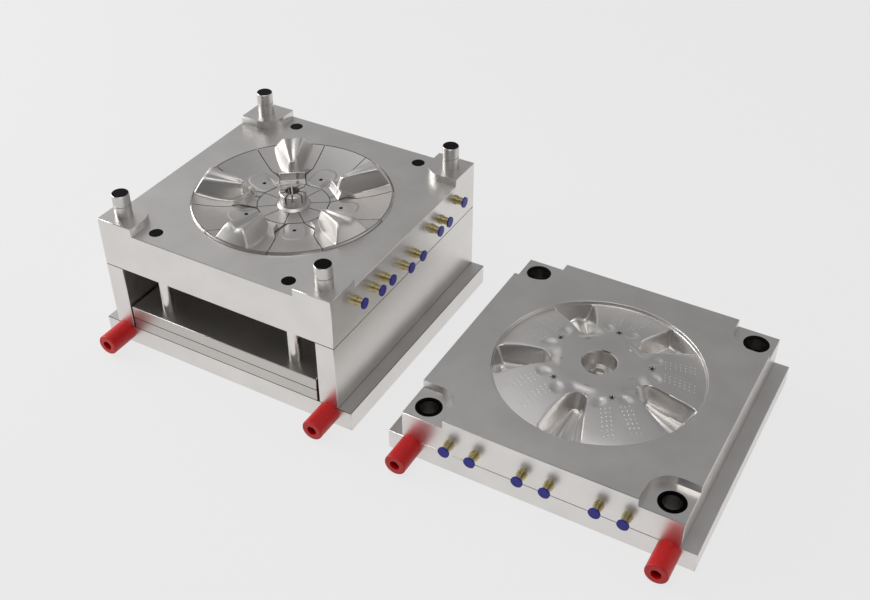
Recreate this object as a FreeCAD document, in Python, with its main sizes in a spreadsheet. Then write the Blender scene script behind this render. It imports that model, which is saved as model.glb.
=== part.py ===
import FreeCAD, Part
import os
import re
import Sketcher

# Injection mould for a round five-spoke cover, laid open: the moving (core) half stands at the
# origin with its back on the floor, the fixed (cavity) half lies beside it with its face up.
# +X runs from the core half to the cavity half, -Y is the side with the feet, +Z is up.

SPOKES = 5
PITCH = 360 / SPOKES

SIZES = {
    # Plates of the moving half
    "plate_side": 550,
    "clamp_overhang": 30,
    "clamp_plate_thickness": 45,
    "spacer_height": 150,
    "spacer_width": 42,
    "core_plate_thickness": 93,
    "ejector_plate_thickness": 27,
    "retainer_plate_thickness": 27.5,
    "ejector_side_clearance": 5,
    "knock_out_diameter": 50,
    # Plates of the fixed half
    "half_spacing": 694,
    "cavity_clamp_thickness": 43.4,
    "cavity_plate_thickness": 76.9,
    # Corner bosses of the core plate and the recesses that take them
    "boss_length": 84.8,
    "boss_width": 80.7,
    "boss_round": 45,
    "boss_height": 16.6,
    "recess_clearance": 0.2,
    # Guide pillars and bushes
    "pillar_inset": 37,
    "pillar_diameter": 35,
    "pillar_reach": 67,
    "pillar_head_diameter": 42,
    "pillar_head_height": 8,
    "pillar_ring_drop": 24,
    "pillar_ring_width": 2,
    "pillar_ring_depth": 1,
    "pillar_nose_chamfer": 1.5,
    "bush_diameter": 52,
    "bush_clearance": 0.05,
    "seat_clearance": 0.02,
    # Return pins, ejector pins and sprue puller
    "return_pin_x": 158,
    "return_pin_inset": 35,
    "return_pin_diameter": 28,
    "pin_head_overhang": 4,
    "pin_head_height": 8,
    "ejector_pin_diameter": 8,
    "ejector_pin_radius": 101,
    "puller_diameter": 10,
    "puller_rise": 25,
    "slide_clearance": 0.05,
    # Dish of the core and the inserts that make it
    "rim_diameter": 407.6,
    "skirt_width": 4.2,
    "rim_height": 4.5,
    "dish_depth": 17.5,
    "ring_diameter": 150,
    "hub_base_diameter": 68,
    "insert_depth": 53,
    "insert_fit": 0.1,
    "joint_line": 1.7,
    "joint_line_depth": 10,
    "key_angle": 31,
    "key_rod_diameter": 12,
    # Outline of a spoke insert, from its neck at the ring out to the rim
    "neck_width": 55,
    "waist_radius": 106,
    "shoulder_radius": 124,
    "shoulder_width": 87,
    "flare_radius": 189,
    "flare_width": 145,
    # Raised spoke: four sections across it, from the nose to the crest. Each has a radius, the
    # heights of its two ridges, and how far its ridges and feet lie from the middle line
    "spoke_nose_radius": 90,
    "spoke_nose_left_ridge": 10,
    "spoke_nose_right_ridge": 2.5,
    "spoke_nose_left_foot": 13.5,
    "spoke_nose_right_foot": 11,
    "spoke_nose_left_height": 21,
    "spoke_nose_right_height": 17.5,
    "spoke_waist_radius": 128,
    "spoke_waist_left_ridge": 15,
    "spoke_waist_right_ridge": 8,
    "spoke_waist_left_foot": 26,
    "spoke_waist_right_foot": 24,
    "spoke_waist_left_height": 27,
    "spoke_waist_right_height": 24,
    "spoke_middle_radius": 155,
    "spoke_middle_left_ridge": 19.5,
    "spoke_middle_right_ridge": 12.5,
    "spoke_middle_left_foot": 34,
    "spoke_middle_right_foot": 34,
    "spoke_middle_left_height": 30.5,
    "spoke_middle_right_height": 28,
    "spoke_crest_radius": 183,
    "spoke_crest_left_ridge": 28,
    "spoke_crest_right_ridge": 16.5,
    "spoke_crest_left_foot": 49,
    "spoke_crest_right_foot": 41,
    "spoke_crest_left_height": 36,
    "spoke_crest_right_height": 33.5,
    "spoke_last_radius": 216,
    "spoke_last_left_ridge": 38,
    "spoke_last_right_ridge": 21,
    "spoke_last_left_foot": 68,
    "spoke_last_right_foot": 48,
    "spoke_last_left_height": 42.5,
    "spoke_last_right_height": 39.5,
    "spoke_root": 24,
    "spoke_valley_depth": 3.5,
    # Its nose and its end, turned about the mould's axis: foot and top of the nose, top of the end
    "nose_foot_radius": 93,
    "nose_top_radius": 101,
    "nose_top_height": 20,
    "end_top_radius": 190,
    "end_top_height": 26,
    "end_round": 9,
    # Raised neck between the ring and the nose of the spoke
    "neck_foot_radius": 79,
    "neck_top_radius": 88,
    "neck_top_depth": 6,
    "neck_end_radius": 116,
    # Hub with its ring of prongs
    "hub_diameter": 56,
    "hub_height": 31.5,
    "hub_bore": 30,
    "hub_bore_depth": 46,
    "hub_foot_height": 4,
    "prong_slot": 3,
    "prong_slot_depth": 20,
    "prong_narrow_angle": 29,
    "prong_start_angle": -85,
    "prong_chamfer": 2.5,
    # Cavity that faces the core
    "wall": 2.4,
    "bowl_diameter": 415.4,
    "bowl_rim_drop": 7,
    "bowl_rim_inset": 2.7,
    "cavity_bore_mouth": 67.8,
    "cavity_bore_floor": 61,
    "cavity_bore_depth": 16.5,
    "sprue_bush_drop": 21.3,
    "nut_mark_radius": 99.5,
    "nut_mark_diameter": 14,
    "nut_mark_depth": 4,
    # Sprue bush and locating ring
    "sprue_bush_diameter": 36,
    "sprue_flange_diameter": 60,
    "sprue_flange_height": 12,
    "sprue_bore": 7,
    "sprue_taper": 2.5,
    "nozzle_seat_diameter": 28,
    "nozzle_seat_depth": 4,
    "locating_ring_diameter": 110,
    "locating_ring_bore": 44,
    "locating_ring_thickness": 12,
    # Cooling fittings
    "fitting_diameter": 16,
    "fitting_collar_diameter": 20,
    "fitting_collar_length": 5,
    "fitting_length": 19,
    "fitting_thread_depth": 14,
    "cap_diameter": 23,
    "cap_thickness": 3,
    "core_fitting_low": 33,
    "core_fitting_mid": 49.7,
    "core_fitting_high": 62,
    "core_fitting_1": 23,
    "core_fitting_2": 94,
    "core_fitting_3": 132,
    "core_fitting_4": 195,
    "cavity_fitting_height": 23.6,
    "cavity_fitting_1": 26.7,
    "cavity_fitting_2": 122,
    "cavity_fitting_3": 175,
    # Feet on the front edge
    "foot_diameter": 44,
    "foot_length": 62,
    "foot_inset": 20,
    "foot_height": 29.5,
    "foot_round": 3,
    "foot_hole_diameter": 20,
    "foot_hole_depth": 44,
    # Cap screws
    "screw_diameter": 16,
    "screw_head_diameter": 24,
    "screw_head_height": 16,
    "screw_bite": 25,
    "head_sink": 1,
    "thread_run_out": 2,
    "screw_clearance": 0.3,
    "screw_inset": 125,
    "cavity_screw_inset": 40,
    "foot_screw_diameter": 12,
    "foot_screw_head_diameter": 18,
    "foot_screw_bite": 24,
    "ejector_screw_diameter": 10,
    "ejector_screw_head_diameter": 16,
    "ejector_screw_head_height": 10,
    "ejector_screw_bite": 15,
    "ejector_screw_x": 200,
    "ejector_screw_y": 150,
}

CORE_LEVEL = "(clamp_plate_thickness + spacer_height)"
PARTING = f"({CORE_LEVEL} + core_plate_thickness)"
PIN_LEVEL = "(clamp_plate_thickness + ejector_plate_thickness)"
CAVITY_FACE = "(cavity_clamp_thickness + cavity_plate_thickness)"
FACE_X = "plate_side / 2"
PILLAR_X = "(plate_side / 2 - pillar_inset)"
RETURN_Y = "(plate_side / 2 - return_pin_inset)"
SPACER_X = "(plate_side / 2 - spacer_width / 2)"
SCREW_Y = "(plate_side / 2 - screw_inset)"
CAVITY_SCREW_X = "(plate_side / 2 - cavity_screw_inset)"
FOOT_X = "(plate_side / 2 - foot_inset)"
RING = "ring_diameter / 2"
SKIRT = "(rim_diameter + 2 * skirt_width)"
GROOVE_DEPTH = "(-dish_depth - joint_line_depth)"
KEY_ROD_RADIUS = "((ring_diameter + hub_base_diameter) / 4)"
SPOKE_PLACES = ("nose", "waist", "middle", "crest", "last")
# Cutting shapes end here, clear of what they cut: above it, below it and outside it
ABOVE = "(2 * spoke_crest_left_height)"
CLEAR = "insert_depth"
OUTSIDE = f"(0.6 * {SKIRT})"
FLARE = "((flare_width - shoulder_width) / 2 / (flare_radius - shoulder_radius))"

doc = FreeCAD.newDocument("injection_mould")
sheet = doc.addObject("Spreadsheet::Sheet", "Sizes")
for row, (name, number) in enumerate(SIZES.items(), 1):
    sheet.set(f"A{row}", name)
    sheet.set(f"B{row}", str(number))
    sheet.setAlias(f"B{row}", name)
doc.recompute()
parts = []


# Helpers: sizes

def full(text):
    """Write every size in an expression with the name of its sheet."""
    return re.sub(r"[a-z_]+[0-9]?(_[a-z]+)*", lambda m: f"Sizes.{m[0]}" if m[0] in SIZES else m[0], text)


def value(text):
    return float(sheet.evalExpression(full(text)))


def bind(thing, **sizes):
    for name, text in sizes.items():
        thing.setExpression(name, full(text))


# Helpers: sub-parts

def new_body(name):
    body = doc.addObject("PartDesign::Body", name)
    body.Label = name
    return body


def place(thing, x="0", y="0", z="0", turn=0, flip=False):
    """Put a sub-part at a point, turned about the vertical and, where asked, upside down first."""
    spin = FreeCAD.Rotation(FreeCAD.Vector(0, 0, 1), turn)
    over = FreeCAD.Rotation(FreeCAD.Vector(1, 0, 0), 180 if flip else 0)
    thing.Placement = FreeCAD.Placement(FreeCAD.Vector(value(x), value(y), value(z)), spin * over)
    thing.setExpression(".Placement.Base.x", full(x))
    thing.setExpression(".Placement.Base.y", full(y))
    thing.setExpression(".Placement.Base.z", full(z))


def keep(thing):
    parts.append(thing)
    return thing


# Helpers: sketches

def sketch_on(body, name, role="XY_Plane", level="0"):
    sketch = body.newObject("Sketcher::SketchObject", f"{body.Name}_{name}")
    plane = next(face for face in body.Origin.OriginFeatures if face.Role == role)
    sketch.AttachmentSupport = [(plane, "")]
    sketch.MapMode = "FlatFace"
    sketch.setExpression(".AttachmentOffset.Base.z", full(level))
    return sketch


def hold(sketch, kind, geometry, point, text):
    """Tie one coordinate of a sketch point to a size."""
    number = value(text)
    if abs(number) < 1e-9:
        axis = -2 if kind == "DistanceX" else -1
        sketch.addConstraint(Sketcher.Constraint("PointOnObject", geometry, point, axis))
        return
    index = sketch.addConstraint(Sketcher.Constraint(kind, -1, 1, geometry, point, number))
    sketch.setExpression(f"Constraints[{index}]", full(text))


def outline(sketch, corners, arcs=None):
    """Draw a closed outline. arcs maps a corner to the centre of the arc that leaves it, and its turn."""
    arcs = arcs or {}
    points = [FreeCAD.Vector(value(x), value(y), 0) for x, y in corners]
    ends = []
    for i, start in enumerate(points):
        finish = points[(i + 1) % len(points)]
        if i not in arcs:
            ends.append((sketch.addGeometry(Part.LineSegment(start, finish)), 1, 2))
            continue
        centre = FreeCAD.Vector(value(arcs[i][0]), value(arcs[i][1]), 0)
        first, last, order = (start, finish, (1, 2)) if arcs[i][2] > 0 else (finish, start, (2, 1))
        circle = Part.Circle(centre, FreeCAD.Vector(0, 0, 1), (start - centre).Length)
        arc = Part.ArcOfCircle(circle, circle.parameter(first), circle.parameter(last))
        ends.append((sketch.addGeometry(arc), *order))
    for i, (geometry, start, finish) in enumerate(ends):
        after, after_start, _ = ends[(i + 1) % len(ends)]
        sketch.addConstraint(Sketcher.Constraint("Coincident", geometry, finish, after, after_start))
        hold(sketch, "DistanceX", geometry, start, corners[i][0])
        hold(sketch, "DistanceY", geometry, start, corners[i][1])
        if i in arcs and len(arcs[i]) > 3:
            radius = value(arcs[i][3])
            index = sketch.addConstraint(Sketcher.Constraint("Radius", geometry, radius))
            sketch.setExpression(f"Constraints[{index}]", full(arcs[i][3]))
    return sketch


def rectangle(sketch, length, width, x="0", y="0"):
    left, right = f"{x} - ({length}) / 2", f"{x} + ({length}) / 2"
    near, far = f"{y} - ({width}) / 2", f"{y} + ({width}) / 2"
    return outline(sketch, [(left, near), (right, near), (right, far), (left, far)])


def circles(sketch, spots, diameter):
    for x, y in spots:
        centre = FreeCAD.Vector(value(x), value(y), 0)
        ring = sketch.addGeometry(Part.Circle(centre, FreeCAD.Vector(0, 0, 1), value(diameter) / 2))
        hold(sketch, "DistanceX", ring, 3, x)
        hold(sketch, "DistanceY", ring, 3, y)
        index = sketch.addConstraint(Sketcher.Constraint("Radius", ring, value(diameter) / 2))
        sketch.setExpression(f"Constraints[{index}]", full(f"({diameter}) / 2"))
    return sketch


def four(x, y):
    return [(f"{i} * {x}", f"{j} * {y}") for i in (-1, 1) for j in (-1, 1)]


# Helpers: features

def feature(body, kind, sketch, **sizes):
    shape = body.newObject(f"PartDesign::{kind}", f"{sketch.Name}_{kind.lower()}")
    shape.Profile = sketch
    bind(shape, **sizes)
    return shape


def pad(body, sketch, length, **sizes):
    return feature(body, "Pad", sketch, Length=length, **sizes)


def pocket(body, sketch, depth):
    return feature(body, "Pocket", sketch, Length=depth)


def turn_shape(body, kind, sketch):
    shape = feature(body, kind, sketch)
    shape.ReferenceAxis = (sketch, ["V_Axis"])
    return shape


def bores(body, name, spots, diameter, depth, role="XY_Plane", level="0"):
    return pocket(body, circles(sketch_on(body, name, role, level), spots, diameter), depth)


def rods(body, name, spots, diameter, length, role="XY_Plane", level="0"):
    return pad(body, circles(sketch_on(body, name, role, level), spots, diameter), length)


# Shapes shared by both halves

def corner_patch(sketch, i, j, grow):
    """One corner of a plate, with its inner corner rounded."""
    edge = "plate_side / 2"
    inner_x = f"({edge} - boss_length - {grow})"
    inner_y = f"({edge} - boss_width - {grow})"
    spots = [
        (edge, edge),
        (inner_x, edge),
        (inner_x, f"({inner_y} + boss_round)"),
        (f"({inner_x} + boss_round)", inner_y),
        (edge, inner_y),
    ]
    centre = (f"{i} * ({inner_x} + boss_round)", f"{j} * ({inner_y} + boss_round)", i * j)
    outline(sketch, [(f"{i} * {x}", f"{j} * {y}") for x, y in spots], {2: (*centre, "boss_round")})


def corner_patches(sketch, grow="0"):
    for i in (-1, 1):
        for j in (-1, 1):
            corner_patch(sketch, i, j, grow)
    return sketch


def bowl_arc(rim_radius, rise):
    """Radius of the arc that is flat at the ring and rises to the rim."""
    return f"((({rim_radius}) - {RING})^2 + ({rise})^2) / (2 * ({rise}))"


def spoke_section(body, place, grow):
    """One section across a spoke: foot, ridge, valley, ridge and foot."""
    left, right = f"spoke_{place}_left", f"spoke_{place}_right"
    sketch = sketch_on(body, f"spoke_{place}", "YZ_Plane", f"spoke_{place}_radius")
    top_left, top_right = f"({left}_height + {grow})", f"({right}_height + {grow})"
    valley = f"({right}_ridge - {left}_ridge) / 2"
    return outline(sketch, [
        (f"({right}_foot + {grow})", "-spoke_root"), (f"({right}_ridge + {grow})", top_right),
        (valley, f"(({top_left} + {top_right}) / 2 - spoke_valley_depth)"),
        (f"-({left}_ridge + {grow})", top_left), (f"-({left}_foot + {grow})", "-spoke_root")])


def spoke_block(body, grow="0"):
    """The raised spoke: lofted through its sections, its nose and end turned about the mould's axis."""
    sections = [spoke_section(body, place, grow) for place in SPOKE_PLACES]
    spoke = body.newObject("PartDesign::AdditiveLoft", f"{body.Name}_spoke_loft")
    spoke.Profile = sections[0]
    spoke.Sections = sections[1:]
    trim = sketch_on(body, "spoke_trim", "XZ_Plane")
    near, far = f"(spoke_nose_radius - {CLEAR})", f"(spoke_last_radius + {CLEAR})"
    neck, foot = f"({grow} - neck_top_depth)", f"(nose_foot_radius - {grow})"
    lean = "((nose_top_radius - nose_foot_radius) / (nose_top_height + neck_top_depth))"
    outline(trim, [(near, neck), (foot, neck), (f"({foot} + {lean} * ({ABOVE} - {neck}))", ABOVE),
                   (near, ABOVE)])
    rim, skirt = f"(rim_diameter / 2 + {grow})", f"({SKIRT} / 2 + {grow})"
    top, crest = f"(end_top_radius + {grow})", f"(spoke_crest_left_height + {grow})"
    below = f"-(spoke_root + {CLEAR})"
    outline(trim, [
        (skirt, below), (far, below), (far, ABOVE), (f"({top} - 2 * end_round)", ABOVE),
        (f"({top} - end_round)", crest), (f"({top} - end_round / 4)", f"({crest} - end_round / 3)"),
        (top, f"(end_top_height + {grow})"), (rim, f"(rim_height + {grow} / 2)"), (skirt, "0")])
    turn_shape(body, "Groove", trim)


# Moving half: plates

def moving_clamp_plate():
    body = new_body("moving_clamp_plate")
    pad(body, rectangle(sketch_on(body, "plate"), "plate_side + 2 * clamp_overhang", "plate_side"),
        "clamp_plate_thickness")
    top = "clamp_plate_thickness"
    bores(body, "knock_out", [("0", "0")], "knock_out_diameter", top, level=top)
    spots = four(SPACER_X, SCREW_Y)
    bores(body, "screw_holes", spots, "screw_diameter + 2 * screw_clearance", top, level=top)
    head = "screw_head_height + head_sink"
    bores(body, "screw_heads", spots, "screw_head_diameter + 2 * screw_clearance", head, level=head)
    feet = [(f"-{FOOT_X}", "foot_height"), (FOOT_X, "foot_height")]
    bores(body, "foot_threads", feet, "foot_screw_diameter + 2 * screw_clearance",
          "foot_screw_bite + thread_run_out", "XZ_Plane", "plate_side / 2")
    place(body)
    return keep(body)


def spacer_block(side, sign):
    body = new_body(f"spacer_block_{side}")
    pad(body, rectangle(sketch_on(body, "block"), "spacer_width", "plate_side"), "spacer_height")
    spots = [("0", f"-{SCREW_Y}"), ("0", SCREW_Y)]
    bores(body, "screw_holes", spots, "screw_diameter + 2 * screw_clearance", "spacer_height",
          level="spacer_height")
    place(body, x=f"{sign} * {SPACER_X}", z="clamp_plate_thickness")
    return keep(body)


def petal_spots(radius):
    return [(f"{radius} * cos({90 + i * PITCH})", f"{radius} * sin({90 + i * PITCH})") for i in range(SPOKES)]


def core_plate():
    body = new_body("core_plate")
    thick = "core_plate_thickness"
    pad(body, rectangle(sketch_on(body, "plate", level=f"-{thick}"), "plate_side", "plate_side"), thick)
    pad(body, corner_patches(sketch_on(body, "bosses")), "boss_height")
    bores(body, "insert_pocket", [("0", "0")], f"{SKIRT} + 2 * insert_fit", "insert_depth")
    pillars = four(PILLAR_X, PILLAR_X)
    bores(body, "pillar_bores", pillars, "pillar_diameter + 2 * seat_clearance",
          f"{thick} + boss_height", level="boss_height")
    seat = f"-{thick} + pillar_head_height"
    bores(body, "pillar_seats", pillars, "pillar_head_diameter + 2 * seat_clearance",
          "pillar_head_height", level=seat)
    bores(body, "return_bores", four("return_pin_x", RETURN_Y),
          "return_pin_diameter + 2 * slide_clearance", thick)
    floor = f"{thick} - insert_depth"
    bores(body, "pin_bores", petal_spots("ejector_pin_radius"),
          "ejector_pin_diameter + 2 * slide_clearance", floor, level="-insert_depth")
    bores(body, "key_bores", petal_spots(KEY_ROD_RADIUS), "key_rod_diameter + 2 * slide_clearance",
          floor, level="-insert_depth")
    bores(body, "puller_bore", [("0", "0")], "puller_diameter + 2 * slide_clearance", floor,
          level="-insert_depth")
    bores(body, "screw_threads", four(SPACER_X, SCREW_Y), "screw_diameter + 2 * screw_clearance",
          "screw_bite + thread_run_out", level=f"-{thick} + screw_bite + thread_run_out")
    bores(body, "cooling_threads", core_fitting_spots(), "fitting_diameter + 2 * seat_clearance",
          "fitting_thread_depth + thread_run_out", "YZ_Plane", FACE_X)
    place(body, z=PARTING)
    return keep(body)


def ejector_plates():
    width = "plate_side - 2 * spacer_width - 2 * ejector_side_clearance"
    screws = four("ejector_screw_x", "ejector_screw_y")
    plate = new_body("ejector_plate")
    thick = "ejector_plate_thickness"
    pad(plate, rectangle(sketch_on(plate, "plate"), width, "plate_side"), thick)
    head = "ejector_screw_head_height + head_sink"
    bores(plate, "screw_holes", screws, "ejector_screw_diameter + 2 * screw_clearance", thick, level=thick)
    bores(plate, "screw_heads", screws, "ejector_screw_head_diameter + 2 * screw_clearance", head, level=head)
    place(plate, z="clamp_plate_thickness")
    keep(plate)
    retainer = new_body("ejector_retainer_plate")
    thick = "retainer_plate_thickness"
    pad(retainer, rectangle(sketch_on(retainer, "plate"), width, "plate_side"), thick)
    groups = [("return", four("return_pin_x", RETURN_Y), "return_pin_diameter"),
              ("ejector", petal_spots("ejector_pin_radius"), "ejector_pin_diameter"),
              ("key", petal_spots(KEY_ROD_RADIUS), "key_rod_diameter"),
              ("puller", [("0", "0")], "puller_diameter")]
    for name, spots, diameter in groups:
        bores(retainer, f"{name}_holes", spots, f"{diameter} + 2 * slide_clearance", thick, level=thick)
        bores(retainer, f"{name}_heads", spots, f"{diameter} + 2 * pin_head_overhang + 2 * slide_clearance",
              "pin_head_height", level="pin_head_height")
    bores(retainer, "screw_threads", screws, "ejector_screw_diameter + 2 * screw_clearance",
          "ejector_screw_bite + thread_run_out", level="ejector_screw_bite + thread_run_out")
    place(retainer, z=PIN_LEVEL)
    keep(retainer)


# Moving half: core inserts

def dish(body, neck=False):
    """Turn the dish, its rim and the sloping skirt outside the rim, with the raised neck where asked."""
    trim = sketch_on(body, "dish", "XZ_Plane")
    rise = "(rim_height + dish_depth)"
    arc = bowl_arc("rim_diameter / 2", rise)
    low, high = f"-(insert_depth + {CLEAR})", ABOVE
    inner, clear = "hub_base_diameter / 2", SKIRT
    floor = [(inner, "-dish_depth"), (RING, "-dish_depth")]
    if neck:
        end = f"(-dish_depth + {arc} - sqrt(({arc})^2 - (neck_end_radius - {RING})^2))"
        floor = [(inner, "-dish_depth"), ("neck_foot_radius", "-dish_depth"),
                 ("neck_top_radius", "-neck_top_depth"), ("neck_end_radius", end)]
    rim = [("rim_diameter / 2", "rim_height"), (f"{SKIRT} / 2", "0"), (f"{SKIRT} / 2", low),
           (clear, low), (clear, high), (inner, high)]
    outline(trim, floor + rim, {len(floor) - 1: (RING, f"-dish_depth + {arc}", 1, arc)})
    return turn_shape(body, "Groove", trim)


def spoke_outline(gap):
    """Corners of a spoke insert, seen from above with the spoke along X."""
    neck = f"(neck_width / 2 - {gap})"
    start = f"sqrt(({RING} + {gap})^2 - {neck}^2)"
    shoulder = f"(shoulder_width / 2 - {gap})"
    far_y = f"({shoulder} + ({OUTSIDE} - shoulder_radius) * {FLARE})"
    side = [(start, neck), ("waist_radius", neck), ("shoulder_radius", shoulder), (OUTSIDE, far_y)]
    return [(x, f"-{y}") for x, y in side] + side[::-1]


def petal_outline(gap):
    """Corners of a petal insert, with the petal along X: the sides of the spokes either side of it."""
    neck = f"(neck_width / 2 + {gap})"
    start = f"sqrt(({RING} + {gap})^2 - {neck}^2)"
    shoulder = f"(shoulder_width / 2 + {gap})"
    far_y = f"({shoulder} + ({OUTSIDE} - shoulder_radius) * {FLARE})"
    side = [(start, neck), ("waist_radius", neck), ("shoulder_radius", shoulder), (OUTSIDE, far_y)]
    half = PITCH / 2
    turned = [(f"({x} * cos({half}) + {y} * sin({half}))", f"({x} * sin({half}) - {y} * cos({half}))")
              for x, y in side]
    return [(x, f"-{y}") for x, y in turned] + turned[::-1]


def wedge_outline(half_angle, gap):
    """Corners of a wedge between the hub and the ring, with parallel gaps beside it."""
    inner, outer = f"(hub_base_diameter / 2 + {gap})", f"({RING} - {gap})"
    corners = []
    for radius in (inner, outer):
        along = f"sqrt({radius}^2 - {gap}^2)"
        corners.append((f"({along} * cos({half_angle}) + {gap} * sin({half_angle}))",
                        f"({along} * sin({half_angle}) - {gap} * cos({half_angle}))"))
    return [(x, f"-{y}") for x, y in corners] + corners[::-1]


def stepped_insert(body, corners_for, top, arcs):
    """A close-fitting seat below and a face above that leaves the open joint line."""
    seat = sketch_on(body, "seat", level="-insert_depth")
    outline(seat, corners_for("insert_fit"), arcs("insert_fit"))
    pad(body, seat, f"insert_depth + {GROOVE_DEPTH}")
    face = sketch_on(body, "face", level=GROOVE_DEPTH)
    outline(face, corners_for("joint_line / 2"), arcs("joint_line / 2"))
    pad(body, face, f"{top} - {GROOVE_DEPTH}")


def inner_arc(corner):
    return lambda gap: {corner: ("0", "0", -1, f"({RING} + {gap})")}


def hub_arc(gap):
    return {3: ("0", "0", -1, f"(hub_base_diameter / 2 + {gap})")}


def wedge_arcs(gap):
    return {1: ("0", "0", 1, f"({RING} - {gap})")} | hub_arc(gap)


def core_inserts():
    for i in range(SPOKES):
        petal_turn = 90 - i * PITCH
        spoke_turn = petal_turn + PITCH / 2
        spoke = new_body(f"core_spoke_insert_{i + 1}")
        stepped_insert(spoke, spoke_outline, "2 * rim_height", inner_arc(7))
        dish(spoke, neck=True)
        spoke_block(spoke)
        place(spoke, z=PARTING, turn=spoke_turn)
        keep(spoke)
        petal = new_body(f"core_petal_insert_{i + 1}")
        stepped_insert(petal, petal_outline, "2 * rim_height", lambda gap: {})
        dish(petal)
        bores(petal, "pin_bore", [("ejector_pin_radius", "0")], "ejector_pin_diameter + 2 * slide_clearance",
              f"insert_depth + {ABOVE}", level=ABOVE)
        place(petal, z=PARTING, turn=petal_turn)
        keep(petal)
        segment = new_body(f"core_ring_segment_{i + 1}")
        half = f"({PITCH / 2} - key_angle / 2)"
        stepped_insert(segment, lambda gap: wedge_outline(half, gap), "-dish_depth", wedge_arcs)
        place(segment, z=PARTING, turn=spoke_turn)
        keep(segment)
        key = new_body(f"ejector_key_{i + 1}")
        stepped_insert(key, lambda gap: wedge_outline("(key_angle / 2)", gap), "-dish_depth", hub_arc)
        rod_foot = f"-({PARTING} - {PIN_LEVEL})"
        rods(key, "rod", [(KEY_ROD_RADIUS, "0")], "key_rod_diameter",
             f"-insert_depth - ({rod_foot})", level=rod_foot)
        rods(key, "head", [(KEY_ROD_RADIUS, "0")], "key_rod_diameter + 2 * pin_head_overhang",
             "pin_head_height", level=rod_foot)
        place(key, z=PARTING, turn=petal_turn)
        keep(key)


def core_hub():
    body = new_body("core_hub")
    base, top = "-insert_depth", "(hub_height - dish_depth)"
    profile = sketch_on(body, "profile", "XZ_Plane")
    bore, wall = "hub_bore / 2", "hub_diameter / 2"
    floor = f"({top} - hub_bore_depth)"
    pin = "(puller_diameter / 2 + slide_clearance)"
    outline(profile, [(pin, base), ("hub_base_diameter / 2", base), ("hub_base_diameter / 2", "-dish_depth"),
                      (wall, "(-dish_depth + hub_foot_height)"), (wall, f"({top} - prong_chamfer)"),
                      (f"({wall} - prong_chamfer)", top), (bore, top), (bore, floor), (pin, floor)])
    turn_shape(body, "Revolution", profile)
    slots = sketch_on(body, "slots", level=top)
    for i in range(SPOKES):
        for j in (0, 1):
            angle = f"(prong_start_angle + {i * PITCH} + {j} * prong_narrow_angle)"
            across = "prong_slot / 2"
            near, far = "hub_bore / 4", "hub_base_diameter / 2"
            corners = [(near, f"-{across}"), (far, f"-{across}"), (far, across), (near, across)]
            outline(slots, [(f"({x} * cos({angle}) - {y} * sin({angle}))",
                             f"({x} * sin({angle}) + {y} * cos({angle}))") for x, y in corners])
    pocket(body, slots, "prong_slot_depth")
    place(body, z=PARTING)
    return keep(body)


# Moving half: pillars and pins

def guide_pillars():
    for i, (x, y) in enumerate(four(PILLAR_X, PILLAR_X), 1):
        body = new_body(f"guide_pillar_{i}")
        shaft, head = "pillar_diameter / 2", "pillar_head_diameter / 2"
        top = "(core_plate_thickness + pillar_reach)"
        ring_low = f"({top} - pillar_ring_drop - pillar_ring_width)"
        ring_high = f"({top} - pillar_ring_drop)"
        ring = f"({shaft} - pillar_ring_depth)"
        outline(sketch_on(body, "profile", "XZ_Plane"), [
            ("0", "0"), (head, "0"), (head, "pillar_head_height"), (shaft, "pillar_head_height"),
            (shaft, ring_low), (ring, ring_low), (ring, ring_high), (shaft, ring_high),
            (shaft, f"({top} - pillar_nose_chamfer)"), (f"({shaft} - pillar_nose_chamfer)", top), ("0", top)])
        turn_shape(body, "Revolution", body.Group[-1])
        place(body, x=x, y=y, z=CORE_LEVEL)
        keep(body)


def return_pins():
    for i, (x, y) in enumerate(four("return_pin_x", RETURN_Y), 1):
        body = new_body(f"return_pin_{i}")
        rods(body, "shank", [("0", "0")], "return_pin_diameter", f"{PARTING} - {PIN_LEVEL}")
        rods(body, "head", [("0", "0")], "return_pin_diameter + 2 * pin_head_overhang", "pin_head_height")
        place(body, x=x, y=y, z=PIN_LEVEL)
        keep(body)


def ejector_pins():
    body = new_body("ejector_pins")
    arc = bowl_arc("rim_diameter / 2", "(rim_height + dish_depth)")
    rise = f"({arc} - sqrt(({arc})^2 - (ejector_pin_radius - {RING})^2))"
    length = f"{PARTING} - {PIN_LEVEL} - dish_depth + {rise}"
    spots = petal_spots("ejector_pin_radius")
    rods(body, "shanks", spots, "ejector_pin_diameter", length)
    rods(body, "heads", spots, "ejector_pin_diameter + 2 * pin_head_overhang", "pin_head_height")
    centre = [("0", "0")]
    rods(body, "puller", centre, "puller_diameter", f"{PARTING} - {PIN_LEVEL} - insert_depth + puller_rise")
    rods(body, "puller_head", centre, "puller_diameter + 2 * pin_head_overhang", "pin_head_height")
    place(body, z=PIN_LEVEL)
    return keep(body)


# Fixed half

def spoke_former(i):
    """Shape of one spoke and its wall, which is cut out of the cavity."""
    body = new_body(f"spoke_former_{i + 1}")
    spoke_block(body, "wall")
    neck = sketch_on(body, "neck", "XZ_Plane", "-(neck_width / 2 + wall)")
    foot = "(neck_foot_radius - 2 * wall)"
    outline(neck, [(foot, "-spoke_root"), (foot, "-dish_depth"),
                   ("(neck_top_radius - wall)", "(wall - neck_top_depth)"),
                   ("neck_end_radius", "(2 * wall - dish_depth)"), ("neck_end_radius", "-spoke_root")])
    pad(body, neck, "neck_width + 2 * wall")
    place(body, x="half_spacing", z=CAVITY_FACE, turn=90 - PITCH / 2 + i * PITCH, flip=True)
    return body


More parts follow.
